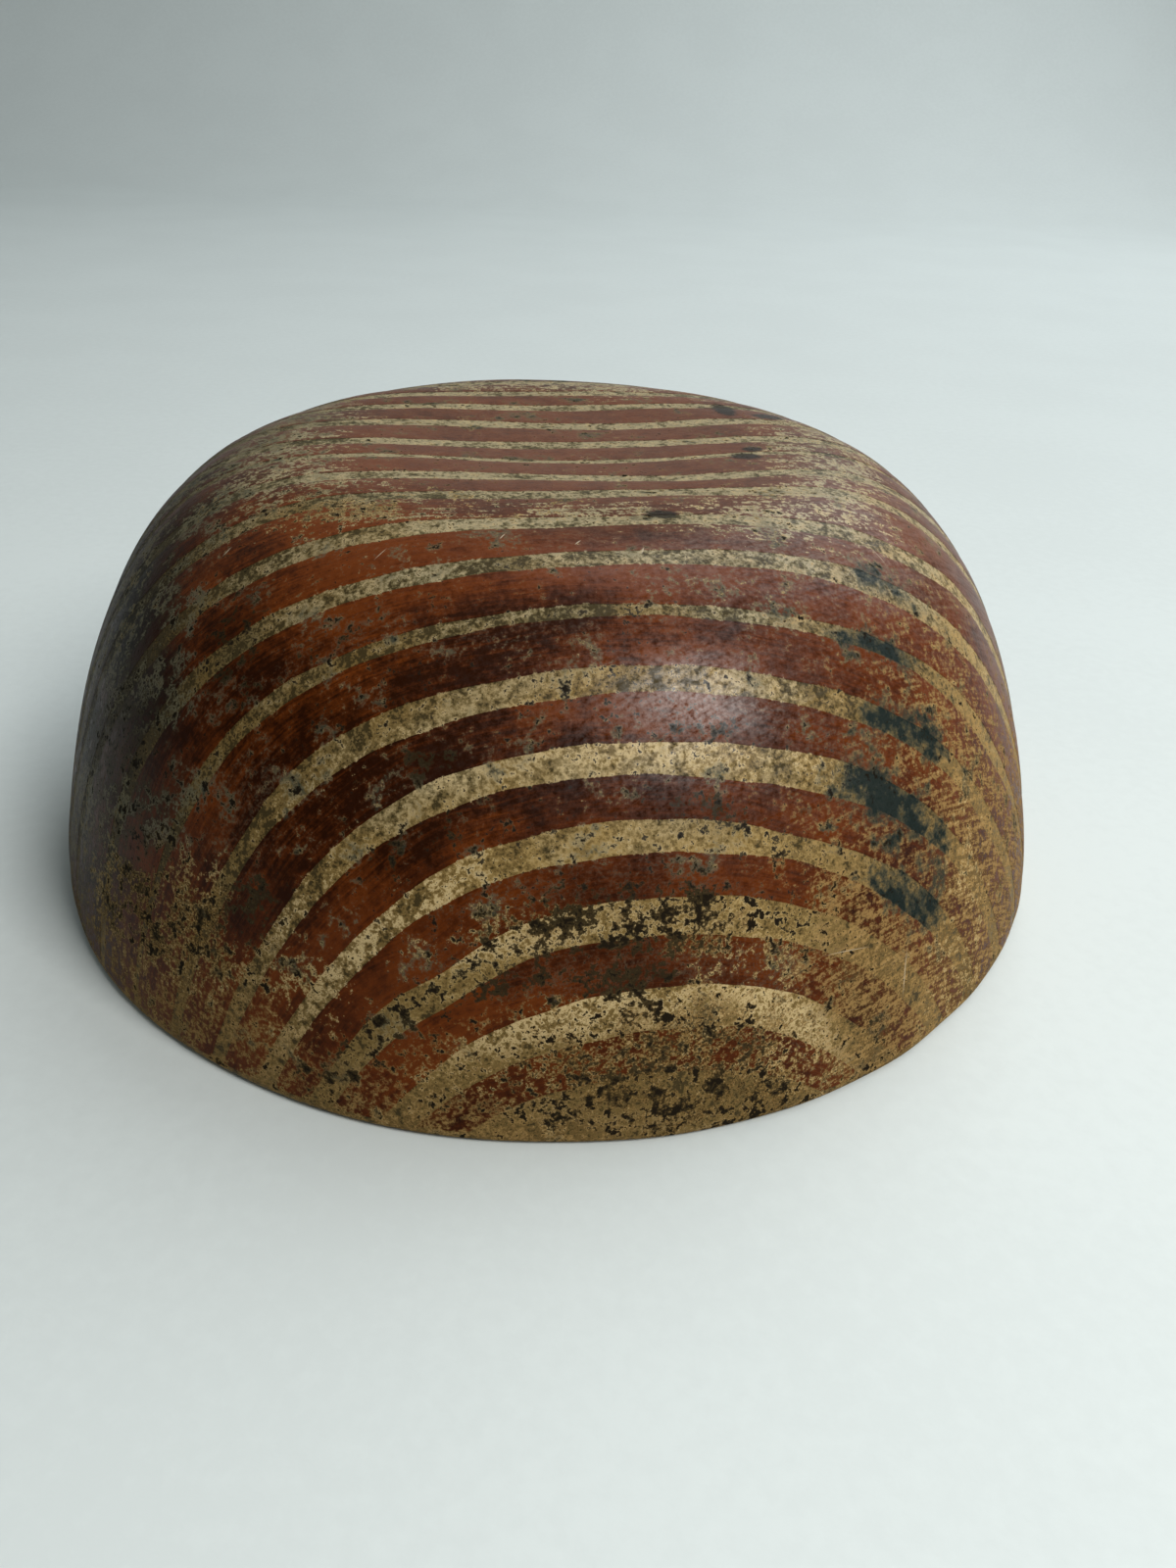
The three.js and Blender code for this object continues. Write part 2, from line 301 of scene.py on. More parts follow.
# %% Weather
# Each oval on the pattern: across, along, half length, half width, turn in degrees, strength
WEATHER = {
    # Smoke from the fire, nearly black on the red
    "smoked": [
        (-50, -108, 46, 12, 16, 0.9), (-14, -88, 36, 8, 9, 0.9), (-80, -78, 26, 12, 14, 0.9),
        (-30, -122, 30, 7, 20, 0.7), (0, -110, 32, 8, 12, 0.6), (-88, -56, 18, 14, 8, 0.9),
        (-62, -94, 22, 10, 24, 0.7), (-70, -62, 26, 34, 0, 0.55), (70, 100, 40, 12, 15, 0.8),
        (-20, 70, 30, 8, 10, 0.8),
    ],
    # Red that was rubbed thin and glows orange
    "glowing": [
        (-45, -62, 30, 14, 10, 0.8), (-10, -72, 44, 7, 10, 0.9), (-50, -96, 18, 4, 18, 0.7),
        (-8, -150, 24, 6, 16, 1), (-70, -148, 20, 8, 30, 0.9), (-30, -168, 20, 5, 24, 1),
        (40, 60, 40, 20, 0, 0.8), (-76, -118, 14, 5, 40, 0.7), (-68, -124, 15, 9, 30, 0.8),
    ],
    # Paint that kept its polish
    "polished": [
        (24, -103, 44, 19, 5, 1), (30, -70, 50, 12, 8, 0.35), (66, -56, 34, 22, 0, 0.35),
        (90, -20, 30, 30, 0, 0.5), (-20, 92, 60, 24, 5, 0.8),
    ],
    # Cream that flaked off clean and pale
    "flaked": [
        (6, -154, 34, 7, 10, 1), (70, -146, 26, 6, -10, 1), (30, -152, 20, 5, 4, 0.8),
        (10, -136, 50, 5, 8, 0.8), (-40, -142, 30, 7, 30, 1), (-62, -140, 20, 8, 40, 0.8),
        (10, -104, 60, 5, 8, 0.5), (30, -172, 60, 4, 0, 0.7), (0, 150, 60, 10, 0, 0.8),
    ],
    # Cream that soaked up dirt
    "soaked": [
        (-62, -96, 40, 34, 10, 1), (-20, -86, 40, 9, 10, 0.9), (-90, -60, 30, 40, 0, 1),
        (-30, -46, 44, 9, 8, 0.6), (-56, -52, 20, 20, 0, 0.6), (60, -86, 24, 6, 10, 0.4),
        (80, 80, 60, 40, 0, 0.6), (-60, 6, 14, 40, 0, 0.7), (60, 6, 12, 36, 0, 0.5),
        (50, -162, 80, 10, 4, 0.35), (-72, -134, 50, 24, -30, 0.9), (0, -82, 40, 4, 9, 0.8),
        (40, -50, 40, 6, 8, 0.6), (50, -74, 40, 6, 8, 0.7), (20, -66, 60, 5, 8, 0.75),
        (40, -90, 40, 4, 8, 0.4), (-60, 100, 50, 40, 0, 0.6),
    ],
    # The base, rubbed pale by standing on it, and painted sheen: the grey-pink gleam of the light from behind
    "dusted_and_sheen": [
        (0, 0, 70, 52, 0, 1), (60, -30, 40, 20, 0, 0.5),
    ],
    # A grey film of dust in the burnished red, and on the base painted sheen of the light from behind
    "dust_film_and_sheen": [
        (20, -142, 40, 5, 8, 1), (60, -146, 30, 8, -14, 1), (-62, -112, 16, 10, 40, 0.8),
        (0, -84, 30, 3, 8, 0.6), (46, -128, 40, 6, 2, 0.8), (-36, -84, 22, 5, 12, 0.6),
        (62, -92, 22, 7, 0, 0.7), (-92, -104, 14, 18, 0, 0.8), (0, 0, 56, 44, 0, 0.3),
        (80, -68, 50, 30, 0, 0.6), (40, -138, 70, 14, 0, 0.7), (30, -56, 50, 8, 8, 0.6),
    ],
    # Ochre earth on the lower wall
    "earthy": [
        (124, -106, 60, 32, -42, 1), (96, -136, 40, 18, -30, 1), (-96, -138, 60, 22, -38, 0.75),
        (44, -166, 80, 20, 4, 0.7), (150, -60, 34, 26, -70, 0.8), (-20, -178, 70, 8, 0, 0.9),
        (60, 160, 60, 20, -10, 0.9), (-130, 100, 50, 26, 40, 0.9), (-160, 10, 30, 60, 0, 0.9),
    ],
    # Thick crust that hides the paint
    "crusted": [
        (38, -152, 34, 7, 4, 0.85), (66, -168, 40, 10, 10, 0.8), (-84, -128, 26, 12, -20, 0.75),
        (26, -134, 44, 6, 8, 0.8), (126, -114, 40, 18, -42, 0.6), (-52, -150, 16, 8, 10, 0.6),
        (20, -168, 60, 8, 4, 0.9), (20, -160, 40, 8, 4, 0.7), (-100, -118, 30, 16, -30, 0.8),
        (70, -150, 40, 10, -20, 0.6), (-30, -48, 34, 9, 6, 0.6), (10, 140, 60, 20, 0, 0.8),
    ],
    # Black specks, thickly sown
    "speckled": [
        (30, -122, 60, 20, 8, 1), (50, -160, 70, 22, 6, 1), (-92, -122, 46, 26, -35, 1),
        (-30, -94, 60, 10, 12, 0.7), (-30, -46, 44, 10, 8, 0.8), (20, -100, 40, 8, 8, 0.7),
        (-80, -60, 30, 24, 0, 0.8), (0, 130, 80, 30, 5, 0.9),
    ],
    # Black crumbs that have run together
    "crumbs": [
        (22, -134, 20, 7, 8, 1), (38, -129, 10, 5, 0, 1), (26, -146, 10, 8, 0, 1), (-2, -146, 10, 3, 20, 0.8),
        (55, -152, 9, 4, 10, 0.9), (-66, -128, 12, 7, 0, 1), (34, -113, 12, 4, 0, 0.9),
        (30, -98, 9, 4, 0, 0.7), (-20, -108, 6, 3, 0, 0.8), (60, -128, 9, 5, 0, 0.8),
        (-60, -76, 10, 8, 60, 0.8), (-100, -76, 12, 14, 0, 0.8), (-116, -66, 10, 12, 0, 0.9),
        (30, -162, 44, 9, 2, 0.78), (60, -168, 40, 7, 6, 0.7), (0, -172, 50, 5, 0, 0.65),
        (-20, -150, 26, 5, 20, 0.6), (14, -140, 30, 10, 10, 0.7), (-54, -164, 30, 6, 20, 0.6),
        (-84, -92, 20, 12, 60, 0.5), (-104, -110, 18, 14, 0, 0.6), (-92, -126, 30, 9, -30, 0.6),
        (90, -140, 24, 8, -30, 0.4), (-20, -122, 20, 4, 16, 0.5), (-46, -86, 24, 3, 16, 0.4),
    ],
    # Blue-green stains
    "stained": [
        (79, -97, 22, 7, 8, 1), (79, -81, 16, 5, 12, 0.9), (90, -111, 15, 6, 0, 0.9),
        (70, -69, 14, 4, 12, 0.8), (68, -54, 10, 4, 10, 0.6), (98, -104, 10, 8, -30, 0.8),
        (-60, 118, 16, 5, 10, 0.9),
    ],
    # The side that lay in damp ground
    "damp": [
        (-118, -60, 36, 50, 20, 1), (-98, -60, 16, 34, 0, 0.8), (-140, -76, 26, 34, 30, 0.9),
        (-100, -28, 22, 20, 0, 0.9), (-110, 30, 40, 60, 20, 0.9), (100, 90, 40, 50, 0, 0.8),
        (-100, -100, 16, 16, 0, 0.7), (-84, -60, 12, 40, 0, 0.5),
    ],
    # The ring of the base, worn through to the cream
    "worn": [
        (60, 4, 15, 44, 0, 1.0), (-62, 0, 15, 46, 0, 0.95), (0, -47, 54, 7, 4, 0.8),
        (46, -40, 20, 12, 40, 0.8), (-46, -38, 22, 12, -40, 0.8), (0, 52, 60, 9, 0, 0.95),
    ],
}


def soft_ovals(ovals, x, y):
    """Ovals laid over each other: up to 1 in the middle of one, and 0 outside them all."""
    clear = np.ones_like(x)
    for across, along, long, wide, turn, strength in ovals:
        cos, sin = math.cos(math.radians(turn)), math.sin(math.radians(turn))
        u = ((x - across) * cos + (y - along) * sin) / long
        v = ((y - along) * cos - (x - across) * sin) / wide
        clear *= 1 - strength * np.exp(-0.7 * (u * u + v * v) ** 1.5)
    return 1 - clear


def let_weather(piece, x, y):
    """Stores every weather mask on the points of a painted piece, whose flat places are x and y."""
    for name, ovals in WEATHER.items():
        mask = piece.data.attributes.new(name, "FLOAT", "POINT")
        mask.data.foreach_set("value", soft_ovals(ovals, x, y).astype(np.float32))


print("weather masks:", ", ".join(WEATHER))

# %% [markdown]
# ## A finish with weather
#
# Painted is the Finish of everything on the outside. It carries the flat pattern, for small marks at an exact
# place, and the noises that all layers share: clouds, drifts, mottle, flecks and grain, from large to small,
# and the slanting strokes of a wiping hand, which are strongest on the right. The first five read Object
# coordinates, because the flat pattern is stretched sideways near the rim.

# %% Painted finish
WIPED_TURN = math.radians(38)
WIPED_SHAPE = (12, 1, 1)
# A small mark is solid in the middle and fades over this share of its half size
MARK_FADE = 0.6


class Painted(Finish):
    """A finish on the outside of the bowl, with the noises that all its layers share."""

    def __init__(self, name):
        super().__init__(name)
        self.pattern = self.node("UVMap", {"uv_map": "pattern"}, {})
        solid = self.node("TexCoord", {}, {}, "Object")
        scaled = {"Vector": solid, "Scale": (1 / MM, 1 / MM, 1 / MM)}
        self.solid = self.node("Mapping", {}, scaled)
        self.clouds = self.noise(self.solid, 26, 4, 0.6)
        self.drifts = self.noise(self.solid, 10, 5, 0.65, shift=13)
        self.mottle = self.noise(self.solid, 3.2, 6, 0.70, shift=31)
        self.flecks = self.noise(self.solid, 1.1, 4, 0.65, shift=57)
        self.grain = self.noise(self.solid, 0.45, 1, 0.5, shift=83)
        turned = {"Vector": self.pattern, "Rotation": (0, 0, WIPED_TURN), "Scale": WIPED_SHAPE}
        strokes = self.noise(self.node("Mapping", {"vector_type": "TEXTURE"}, turned), 1, 4, 0.65)
        right_side = self.node("SeparateXYZ", {}, {0: self.pattern}, "X").above(20, 80)
        self.wiped = strokes * (right_side * 0.8 + 0.2)
        self.distance = self.node("VectorMath", {"operation": "LENGTH"}, {0: self.pattern}, "Value")

    def weather(self, name):
        """One of the weather masks."""
        return self.node("Attribute", {"attribute_name": name}, {}, "Fac")

    def mark(self, across, along, long, wide, turn):
        """One small oval mark, with its half sizes in millimetres."""
        sockets = {
            "Vector": self.pattern,
            "Location": (across, along, 0),
            "Rotation": (0, 0, math.radians(turn)),
            "Scale": (long, wide, 1),
        }
        inside = self.node("Mapping", {"vector_type": "TEXTURE"}, sockets)
        away = self.node("VectorMath", {"operation": "LENGTH"}, {0: inside}, "Value")
        return (1 - away).above(MARK_FADE / 2, MARK_FADE)

    def marks(self, places):
        """Several small marks as one mask."""
        mask = self.mark(*places[0])
        for place in places[1:]:
            mask = mask | self.mark(*place)
        return mask


print("painted finish ready")

# %% [markdown]
# ## Cream ground
#
# The cream slip is greenish grey on the base, where it was handled and washed, and a warm ochre lower down,
# where earth has soaked in. It could be one colour with noise. Two colours that change over the bowl look more
# like the real thing from close by. Over them come pale flakes, olive or ochre dirt, and brown soaked blots in
# the middle of the dirt, all cut from the same noise, so that a flake never lies in a blot.

# %% Cream
# How far from the middle of the base the ground turns warm, and over what length, in mm
WARM_PLACE = 92
WARM_BLEND = 50
CREAM_GREY = (0.300, 0.248, 0.145)
CREAM_WARM = (0.312, 0.208, 0.074)
CREAM_PALE = (0.540, 0.405, 0.205)
CREAM_OLIVE = (0.110, 0.086, 0.036)
CREAM_OCHRE = (0.140, 0.088, 0.028)
CREAM_SOAKED = (0.036, 0.026, 0.010)


def cream_colour(coat):
    """Base colour of the bare cream ground."""
    lower = (coat.distance + coat.clouds * 12).above(WARM_PLACE, WARM_BLEND)
    ground = coat.mix(lower, CREAM_GREY, CREAM_WARM)
    soaked = coat.weather("soaked")
    tone = coat.mottle * 0.65 + coat.flecks * 0.65 + coat.drifts * 0.4
    flaked = coat.weather("flaked")
    ground = coat.mix((tone + flaked * 2.1 - soaked * 0.6).above(1.1, 1.1) * 0.88, ground, CREAM_PALE)
    dirt = soaked * 1.4 - flaked * 0.7 - tone
    soil = coat.mix(lower, CREAM_OLIVE, CREAM_OCHRE)
    ground = coat.mix((dirt + lower * 0.35).above(0.65, 1.0) * 0.87, ground, soil)
    return coat.mix((dirt + coat.grain * 0.3).above(1.75, 0.9) * 0.88, ground, CREAM_SOAKED)


print("the cream turns warm about", WARM_PLACE, "mm from the middle of the base")

# %% [markdown]
# ## Red slip
#
# The red slip runs from bright orange brown, where it was rubbed thin, to nearly black maroon, where the
# fire's smoke reached it. The rubbing stone left fine streaks along every stripe. The streaks read a second
# UV map, stroke, which runs along the stripe, so that they bend with it. A grey film of dust lies on it in
# places, and on the base, which was rubbed most, the red is paler and pinker. On the base both are partly
# painted sheen: the grey-pink gleam of the light from behind, laid into the colour.

# %% Red
SLIP_ORANGE = (0.140, 0.032, 0.0042)
SLIP_RED = (0.084, 0.0185, 0.0032)
SLIP_MAROON = (0.017, 0.0042, 0.0010)
# Grey film of dust, and on the base painted sheen of the light from behind
SLIP_FILM_AND_SHEEN = (0.086, 0.058, 0.035)
# The paler, pinker red of the base: partly wear, partly painted sheen of the light from behind
SLIP_DUSTED_AND_SHEEN = (0.190, 0.092, 0.060)


def red_colour(coat, stroke):
    """Base colour of the red slip."""
    streaks = coat.noise(stroke, 1, 4, 0.7)
    glowing = coat.weather("glowing")
    smoked = coat.weather("smoked")
    fine = coat.mottle * 0.25 + coat.flecks * 0.25 + streaks * 0.35
    tone = coat.clouds * 0.5 + coat.drifts * 0.4 + fine
    slip = coat.mix((tone + glowing * 1.3).above(0.9, 2.6), SLIP_RED, SLIP_ORANGE)
    slip = coat.mix((smoked * 2.1 - tone - glowing * 0.8).above(1.2, 2.4) * 0.94, slip, SLIP_MAROON)
    dust = coat.flecks * 0.5 + coat.grain * 0.4 + coat.mottle * 0.3 + coat.wiped * 0.3
    # A grey film of dust, and on the base painted sheen of the light from behind
    dust_film_and_sheen = coat.weather("dust_film_and_sheen") * 1.8 + coat.drifts * 0.3 + dust
    slip = coat.mix(dust_film_and_sheen.above(1.9, 1.8) * 0.7, slip, SLIP_FILM_AND_SHEEN)
    # The base's red is paler and pinker: partly wear, partly painted sheen of the light from behind
    dusted_and_sheen = (coat.weather("dusted_and_sheen") * (dust * 0.2 + 0.75)).capped()
    return coat.mix(dusted_and_sheen * 0.55, slip, SLIP_DUSTED_AND_SHEEN)


print("red slip from", SLIP_ORANGE, "to", SLIP_MAROON)

# %% [markdown]
# ## Damp, earth and crust
#
# Age laid the same things over the cream and the red. The side that lay in damp ground has a mottled dark
# film. Brown earth is rubbed into the lower wall, with strokes of the wiping hand in it, and on that sits a
# thick crust that hides the paint. Each is a weather mask broken up by noise. They could be painted into the
# cream and the red apart, but one function for both lets them pass over the edge of a stripe without a seam.

# %% Damp and earth
EARTH = (0.080, 0.044, 0.014)
EARTH_LIGHT = (0.285, 0.172, 0.060)
CRUST = (0.200, 0.118, 0.038)
CRUST_PALE = (0.460, 0.325, 0.145)
CRUST_DARK = (0.024, 0.016, 0.006)
DAMP = (0.030, 0.024, 0.012)
DAMP_GREY = (0.125, 0.117, 0.074)
DAMP_BLACK = (0.008, 0.006, 0.004)
# The foot of the wall is soiled all round: the middle of the soil's upper edge above the rim, and its width
FOOT_RISE = 6
FOOT_BLEND = 14


def dampened(coat, colour):
    """The dark film of the side that lay in damp ground."""
    fine = coat.mottle * 0.7 + coat.flecks * 0.6
    film = coat.mix((fine * 0.8 + coat.drifts * 0.7).above(0.35, 0.6) * 0.9, DAMP, DAMP_GREY)
    film = coat.mix((0 - fine - coat.clouds * 0.5).above(0.4, 0.7) * 0.88, film, DAMP_BLACK)
    laid = (coat.weather("damp") * 2.7 + fine * 0.6 + coat.drifts * 0.7).above(1.5, 1.5) * 0.85
    return coat.mix(laid, colour, film), laid


def soiled(coat, colour):
    """Brown earth rubbed into the surface, and the thick crust on it."""
    fine = coat.mottle * 0.6 + coat.flecks * 0.6 + coat.wiped * 0.3
    foot = (coat.distance + coat.clouds * 3).above(REACH - FOOT_RISE, FOOT_BLEND) * 0.62
    earthy = coat.weather("earthy") | foot
    earth = (earthy * 3.1 + coat.drifts * 0.4 + fine).above(2.1, 1.7) * 0.86
    tone = coat.flecks * 0.6 + coat.grain * 0.5 + coat.mottle * 0.5 + coat.wiped * 0.15
    soil = coat.mix((tone + coat.wiped * 0.6).above(0.0, 1.7), EARTH, EARTH_LIGHT)
    colour = coat.mix(earth, colour, soil)
    soil = coat.mix(tone.above(0.8, 0.9), CRUST, CRUST_PALE)
    soil = coat.mix((0 - tone).above(0.4, 0.7) * 0.9, soil, CRUST_DARK)
    crust = (coat.weather("crusted") * 3.3 + coat.drifts * 0.6 + fine).above(2.6, 0.8) * 0.9
    return coat.mix(crust, colour, soil), earth | crust


print("the foot of the wall is soiled from", FOOT_RISE + FOOT_BLEND / 2, "mm above the rim")

# %% [markdown]
# ## Stains, crumbs, specks and polish
#
# The blue-green stains have a dark heart and an olive edge. Black crumbs have run together in clots, and specks
# of two sizes are sown around them, fewer on the red, which was rubbed too smooth to hold them. The stone's
# polish is a clear coat, strongest on the shoulder, and dirt takes it away. The relief is only noise: the
# flecks and the crust catch a little light at their edges.

# %% Age
SPECK = (0.010, 0.007, 0.004)
TEAL = (0.005, 0.012, 0.012)
TEAL_EDGE = (0.055, 0.058, 0.036)
SCRATCH = (0.50, 0.42, 0.30)
POLISH = 0.55
POLISH_ROUGHNESS = 0.34
# The depth of the relief in mm
RELIEF = 0.03
# Small marks on the pattern: across, along, half length, half width, turn in degrees
BASE_SPOTS = [
    (42, -4.5, 5.0, 3.8, 6), (44, 1.5, 3.4, 2.4, 12), (22, -46.5, 4.4, 3.0, 0),
    (40, 36, 4, 9, 10), (51, 33, 6, 4, 20),
]
SCRATCHES = [
    (100, -125, 6, 0.22, -60), (-63, -55, 1.4, 0.2, 40), (-8, -61, 1.4, 0.18, 70), (6, -62, 1.2, 0.2, 60),
    (-30, -66, 2, 0.12, 55), (78, -128, 8, 0.10, 25), (18, -63, 1.2, 0.2, 80), (66, -46, 3, 0.10, -40),
]


def aged(coat, colour, paint_share):
    """Lays all that age did over a base colour. paint_share is 1 on red and 0 on cream."""
    colour, damp = dampened(coat, colour)
    colour, soil = soiled(coat, colour)

    stained = coat.weather("stained") * (1 - paint_share * 0.4)
    spread = stained * 3.0 + coat.drifts * 0.5 + coat.mottle * 0.5
    colour = coat.mix(spread.above(1.5, 1.4) * 0.75, colour, TEAL_EDGE)
    colour = coat.mix(spread.above(2.0, 1.5) * 0.94, colour, TEAL)

    crumbs = coat.weather("crumbs")
    clotted = (crumbs * 2.6 + coat.mottle * 0.9 + coat.flecks * 0.6 + coat.drifts * 0.3).above(2.6, 0.5)
    colour = coat.mix(clotted * 0.92, colour, CRUST_DARK)
    sown = coat.weather("speckled") * 0.8 + crumbs * 0.5 + coat.clouds * 0.2 - paint_share * 0.5
    large = (coat.mottle * 0.9 + coat.flecks * 0.6 + sown).above(2.4, 0.35)
    small = (coat.flecks * 0.8 + coat.grain * 0.5 + sown * 0.7).above(2.1, 0.35)
    specks = large | small
    colour = coat.mix(specks * 0.92, colour, SPECK)
    spots = (coat.marks(BASE_SPOTS) + coat.flecks * 0.12).above(0.5, 0.4)
    colour = coat.mix(spots * 0.9, colour, SPECK)
    colour = coat.mix(coat.marks(SCRATCHES) * 0.7, colour, SCRATCH)

    rough = soil * 0.42 + specks * 0.2 + damp * 0.16 + coat.flecks * 0.02
    relief = coat.flecks * 0.5 + coat.grain * 0.2 + coat.mottle * 0.6
    bump = {"Height": relief, "Strength": 0.25 + soil * 0.6 + specks * 0.15, "Distance": RELIEF * MM}
    polish = coat.weather("polished") * (1 - soil) * (coat.wiped * 0.3 + coat.flecks * 0.35 + 0.9) * POLISH
    coat.set(Coat_Weight=polish.capped(), Coat_Roughness=POLISH_ROUGHNESS)
    return colour, rough, coat.node("Bump", {}, bump)


print("small marks:", len(BASE_SPOTS), "spots and", len(SCRATCHES), "scratches")

# %% [markdown]
# ## The two painted finishes
#
# The cream is matt and whole. The red is the same recipe with its own colour, and it has holes, where the ring
# of the base, the foot of the wall and the frayed edges of the stripes are worn through. The cream under the
# holes could be let through with Alpha. Mixing the cream's colour in gives the same look, and leaves every
# skin opaque.

# %% Cream and red
# How strongly the bare surface mirrors
SHEEN = 0.045
CREAM_ROUGHNESS = 0.44
RED_ROUGHNESS = 0.34
# The red starts to wear off this far above the rim, in mm
WORN_FOOT = 6


def cream_finish():
    """The cream ground: matt, speckled, and open between the red stripes."""
    coat = Painted("cream_slip")
    colour, rough, bump = aged(coat, cream_colour(coat), 0.0)
    coat.set(Base_Color=colour, Roughness=rough + CREAM_ROUGHNESS, Normal=bump, Specular_IOR_Level=SHEEN)
    return coat.material


def red_finish():
    """The red slip: polished, streaked along the stripe, and worn through to the cream."""
    coat = Painted("burnished_red_slip")
    stroke = coat.node("UVMap", {"uv_map": "stroke"}, {})
    red = red_colour(coat, stroke)
    edge = coat.node("Attribute", {"attribute_name": "edge_depth"}, {}, "Fac")
    breakup = coat.mottle * 0.6 + coat.flecks * 0.6 + coat.drifts * 0.3
    worn = coat.weather("worn") * 3.1 + breakup + coat.noise(stroke, 1.6, 3, 0.6, shift=5) * 0.6
    foot = (coat.distance - (REACH - WORN_FOOT)) * 0.25 + breakup * 0.6
    frayed = coat.flecks * 0.14 + coat.mottle * 0.12 - edge
    bare = worn.above(2.7, 0.4) | foot.above(0.8, 0.5) | frayed.above(0.1, 0.15)
    base = coat.mix(bare, red, cream_colour(coat))
    colour, rough, bump = aged(coat, base, 1 - bare)
    coat.set(Base_Color=colour, Roughness=rough + RED_ROUGHNESS, Normal=bump, Specular_IOR_Level=SHEEN)
    return coat.material


cream_ground = cream_finish()
red_slip = red_finish()
for finish in (cream_ground, red_slip):
    print("finish:", finish.name, "with", len(finish.node_tree.nodes), "nodes")

# %% [markdown]
# ## The cream coat
#
# The whole outside is one thin skin. It could be the clay's own surface with a second material, but a skin of
# its own can be repainted alone. Its outline is drawn on the flat pattern, from the middle of the base to the
# rounded lip and back underneath, and spun through a full turn. The poles meet on the axis and are merged.

# %% Coat
LIP_ROUND = 2.0
COAT_THICKNESS = 0.3
RING_PITCH = 2.1
TURN_STEPS = 240
LIP_STEPS = 5
LIP_CENTRE = REACH - LIP_ROUND


def skin_outline(depth):
    """A line just under the outside, from the middle of the base round the outer edge of the lip."""
    count = round(LIP_CENTRE / RING_PITCH)
    line = [(LIP_CENTRE * i / count, -depth) for i in range(count + 1)]
    radius = LIP_ROUND - depth
    for i in range(1, LIP_STEPS + 1):
        angle = math.pi / 2 * i / LIP_STEPS
        line.append((LIP_CENTRE + radius * math.sin(angle), radius * math.cos(angle) - LIP_ROUND))
    return line


def spin_outline(outline):
    """Spins an outline, given as distance and height on the flat pattern, into a closed solid."""
    bm = bmesh.new()
    verts = [bm.verts.new((x, 0, z)) for x, z in outline]
    edges = [bm.edges.new(pair) for pair in zip(verts, verts[1:])]
    bmesh.ops.spin(
        bm, geom=verts + edges, axis=(0, 0, 1), cent=(0, 0, 0), dvec=(0, 0, 0), angle=2 * math.pi,
        steps=TURN_STEPS, use_merge=True, use_normal_flip=False, use_duplicate=False,
    )
    bmesh.ops.remove_doubles(bm, verts=bm.verts[:], dist=0.001)
    bmesh.ops.recalc_face_normals(bm, faces=bm.faces[:])
    return bm


def depth_below(co):
    """How deep a flat point lies under the outside and the round of the lip."""
    past = math.hypot(co.x, co.y) - LIP_CENTRE
    if past <= 0:
        return -co.z
    return LIP_ROUND - math.hypot(past, co.z + LIP_ROUND)


# The seen side fills the bake map as a disc, and the hidden side shares a corner of it
BAKE_MIDDLE = Vector((0.5, 0.5))
BAKE_SHARE = 0.47 / REACH
BAKE_CORNER = Vector((0.075, 0.075))
BAKE_CORNER_SHARE = 0.06 / REACH


def coat_maps(bm):
    """UV maps of the coat: its place on the pattern, and a bake map with the hidden side in a corner."""
    bake = bm.loops.layers.uv.new("OFBake")
    pattern = bm.loops.layers.uv.new("pattern")
    for face in bm.faces:
        seen = all(depth_below(vert.co) < COAT_THICKNESS / 3 for vert in face.verts)
        for loop in face.loops:
            co = loop.vert.co
            loop[pattern].uv = co.xy
            if seen:
                loop[bake].uv = co.xy * BAKE_SHARE + BAKE_MIDDLE
            else:
                loop[bake].uv = co.xy * BAKE_CORNER_SHARE + BAKE_CORNER


outline = skin_outline(0) + skin_outline(COAT_THICKNESS)[::-1]
coat_bm = spin_outline(outline)
coat_maps(coat_bm)
coat_places = lay_over(coat_bm)
cream_coat = finish_piece("cream_coat", coat_bm, cream_ground, [])
let_weather(cream_coat, *coat_places)
print("cream coat:", len(cream_coat.data.polygons), "faces")

# %% [markdown]
# ## The clay
#
# Under the coat is the pot itself, 6 mm thick at the rim and a little thicker at the base. Its outline runs
# just under the coat, round the lip and back over the inside. What shows is the lip and the inside, which the
# potter wiped smooth with a wet hand. Nobody sees it in the picture, so its finish is a quiet guess: the bare
# clay, with rings from the wiping and smoke near the rim.

# %% Clay body
RIM_WALL = 6.0
BASE_WALL = 7.5
COAT_CLEARANCE = 0.1


def wall_at(distance):
    """The thickness of the wall at a distance from the middle of the base."""
    return RIM_WALL + (BASE_WALL - RIM_WALL) * (1 - distance / REACH)


def clay_outline():
    """The pot's outline: just under the coat, round the lip and back over the inside."""
    hidden = skin_outline(COAT_THICKNESS + COAT_CLEARANCE)
    land = [(REACH, -LIP_ROUND - COAT_CLEARANCE), (REACH, -RIM_WALL + LIP_ROUND)]
    inner_lip = []
    for i in range(1, LIP_STEPS + 1):
        angle = math.pi / 2 * i / LIP_STEPS
        drop = LIP_ROUND * (1 - math.sin(angle))
        inner_lip.append((LIP_CENTRE + LIP_ROUND * math.cos(angle), drop - RIM_WALL))
    count = round(LIP_CENTRE / RING_PITCH)
    inside = [(LIP_CENTRE * i / count, -wall_at(LIP_CENTRE * i / count)) for i in range(count)]
    return hidden + land + inner_lip + inside[::-1]


CLAY_TAN = (0.300, 0.180, 0.095)
CLAY_BROWN = (0.170, 0.085, 0.042)
SMOKE = (0.050, 0.036, 0.026)


